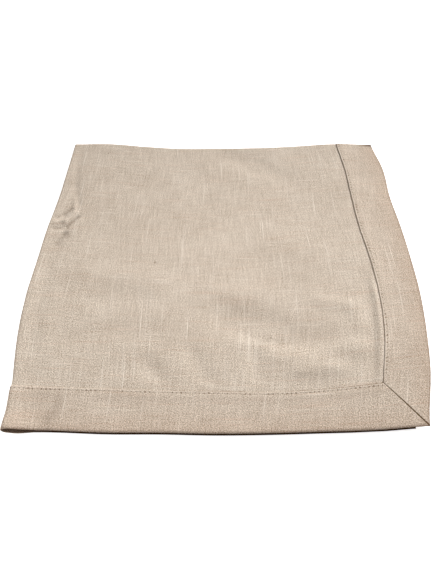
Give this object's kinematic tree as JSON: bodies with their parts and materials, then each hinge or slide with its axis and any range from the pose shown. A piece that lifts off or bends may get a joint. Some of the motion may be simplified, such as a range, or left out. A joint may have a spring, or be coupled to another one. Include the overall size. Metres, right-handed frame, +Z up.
{
  "type": "folded tablecloth",
  "caption": "Square plain-weave tablecloth with a deep mitred hem, folded in quarters and lying flat, with a soft rolled fold on its left and an open mouth at the front left corner.",
  "frame": {"origin": "centre of the folded cloth's footprint, on the surface that it lies on", "axes": "+Z up through the layers, +X from the left fold to the open right edge, +Y from the open front edge to the back fold"},
  "size_m": [0.49, 0.4714, 0.0101],
  "materials": {
    "linen_cloth": "beige slubby plain weave, matt"
  },
  "bodies": {
    "root": {"tablecloth": "linen_cloth"}
  },
  "joints": []
}
